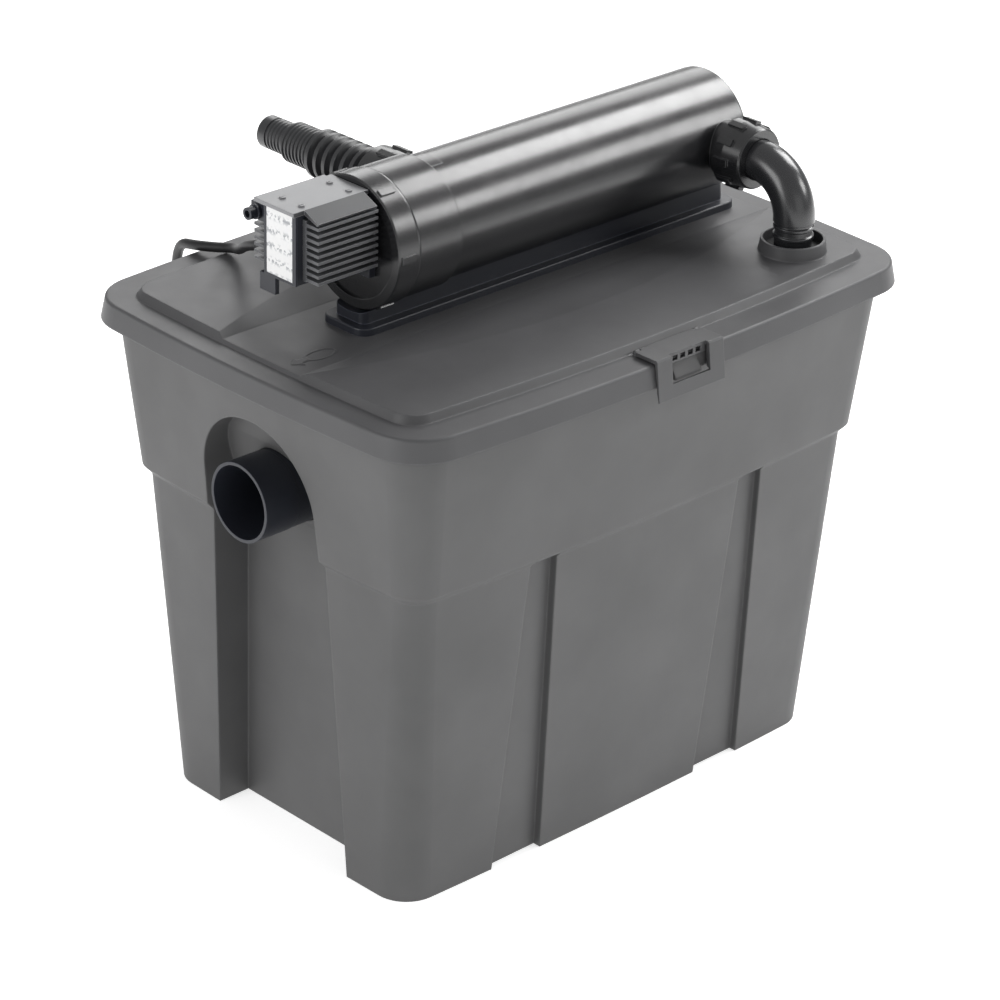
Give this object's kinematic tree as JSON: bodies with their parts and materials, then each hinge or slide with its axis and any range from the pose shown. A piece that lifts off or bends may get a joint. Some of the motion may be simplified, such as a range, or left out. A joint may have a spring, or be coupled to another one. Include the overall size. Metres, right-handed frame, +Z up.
{
  "type": "pond box filter",
  "caption": "Pond box filter with a clip-on lid, an ultraviolet clarifier on a stand, a stepped hose tail and a low outlet.",
  "frame": {"origin": "centre of the tub's base, on the floor", "axes": "+X along the box away from the outlet, -Y towards the front clasp, +Z up"},
  "size_m": [0.5766, 0.5659, 0.566],
  "materials": {
    "tub_plastic": "matte",
    "lid_plastic": "matte",
    "clasp_plastic": "matte",
    "pipe_plastic": "satin",
    "seal_rubber": "matte",
    "steel": "satin",
    "tray_plastic": "matte",
    "coarse_foam": "matte",
    "fine_foam": "matte",
    "housing_plastic": "satin",
    "stand_plastic": "matte",
    "elbow_plastic": "satin",
    "hose_tail_plastic": "satin",
    "box_plastic": "matte",
    "heat_sink_metal": "satin black",
    "cover_metal": "satin",
    "label": "matte",
    "board": "matte",
    "lamp_socket": "matte",
    "lamp_glass": "frosted",
    "quartz": "clear",
    "cord_rubber": "matte"
  },
  "bodies": {
    "tub": {"tub": "tub_plastic", "outlet_pipe": "pipe_plastic", "outlet_gasket": "seal_rubber", "outlet_screws": "steel", "floor_grid": "tray_plastic", "inlet_baffle": "tray_plastic", "coarse_foam_1": "coarse_foam", "coarse_holder_1": "tray_plastic", "coarse_foam_2": "coarse_foam", "coarse_holder_2": "tray_plastic", "coarse_foam_3": "coarse_foam", "coarse_holder_3": "tray_plastic", "fine_foam_1": "fine_foam", "fine_holder_1": "tray_plastic", "fine_foam_2": "fine_foam", "fine_holder_2": "tray_plastic", "fine_foam_3": "fine_foam", "fine_holder_3": "tray_plastic"},
    "lid": {"lid": "lid_plastic", "lid_seal": "seal_rubber", "elbow_grommet": "seal_rubber", "front_clasp_pin": "steel", "rear_clasp_pin": "steel", "uv_stand": "stand_plastic", "stand_screws": "steel", "uv_housing": "housing_plastic", "elbow": "elbow_plastic", "elbow_o_ring": "seal_rubber", "down_pipe": "pipe_plastic", "hose_tail": "hose_tail_plastic", "hose_tail_seal": "seal_rubber"},
    "front_clasp": {"front_clasp": "clasp_plastic"},
    "rear_clasp": {"rear_clasp": "clasp_plastic"},
    "elbow_union_nut": {"elbow_union_nut": "housing_plastic"},
    "inlet_union_nut": {"inlet_union_nut": "housing_plastic"},
    "head": {"head_base": "housing_plastic", "head_o_ring": "seal_rubber", "ballast_housing": "box_plastic", "heat_sink_front": "heat_sink_metal", "heat_sink_rear": "heat_sink_metal", "top_cover": "cover_metal", "label_plate": "label", "blanking_plug": "box_plastic", "cover_screws": "steel", "ballast_board": "board", "lamp_socket": "lamp_socket", "uv_lamp": "lamp_glass", "quartz_sleeve": "quartz", "sleeve_clamp_nut": "housing_plastic", "cable_gland": "box_plastic", "power_cord": "cord_rubber", "cord_coil": "cord_rubber", "cord_tail": "cord_rubber", "mains_plug": "cord_rubber"},
    "lock_ring": {"lock_ring": "housing_plastic"}
  },
  "joints": [
    {"name": "lid_lift", "type": "slide", "parent": "tub", "child": "lid", "axis": [0, 0, 1], "range_m": [0, 0.25]},
    {"name": "front_clasp_hinge", "type": "hinge", "parent": "lid", "child": "front_clasp", "pos_m": [0, -0.1826, 0.4399], "axis": [-1, 0, 0], "range_deg": [0, 100]},
    {"name": "rear_clasp_hinge", "type": "hinge", "parent": "lid", "child": "rear_clasp", "pos_m": [0, 0.1826, 0.4399], "axis": [1, 0, 0], "range_deg": [0, 100]},
    {"name": "elbow_nut_turn", "type": "hinge", "parent": "lid", "child": "elbow_union_nut", "pos_m": [0.206, -0.072, 0.511], "axis": [0, -1, 0], "continuous": true},
    {"name": "inlet_nut_turn", "type": "hinge", "parent": "lid", "child": "inlet_union_nut", "pos_m": [-0.0585, 0.075, 0.511], "axis": [0, 1, 0], "continuous": true},
    {"name": "head_pull_out", "type": "slide", "parent": "lid", "child": "head", "axis": [-1, 0, 0], "range_m": [0, 0.36]},
    {"name": "lock_ring_turn", "type": "hinge", "parent": "head", "child": "lock_ring", "pos_m": [-0.155, 0, 0.511], "axis": [-1, 0, 0], "range_deg": [0, 25]}
  ]
}
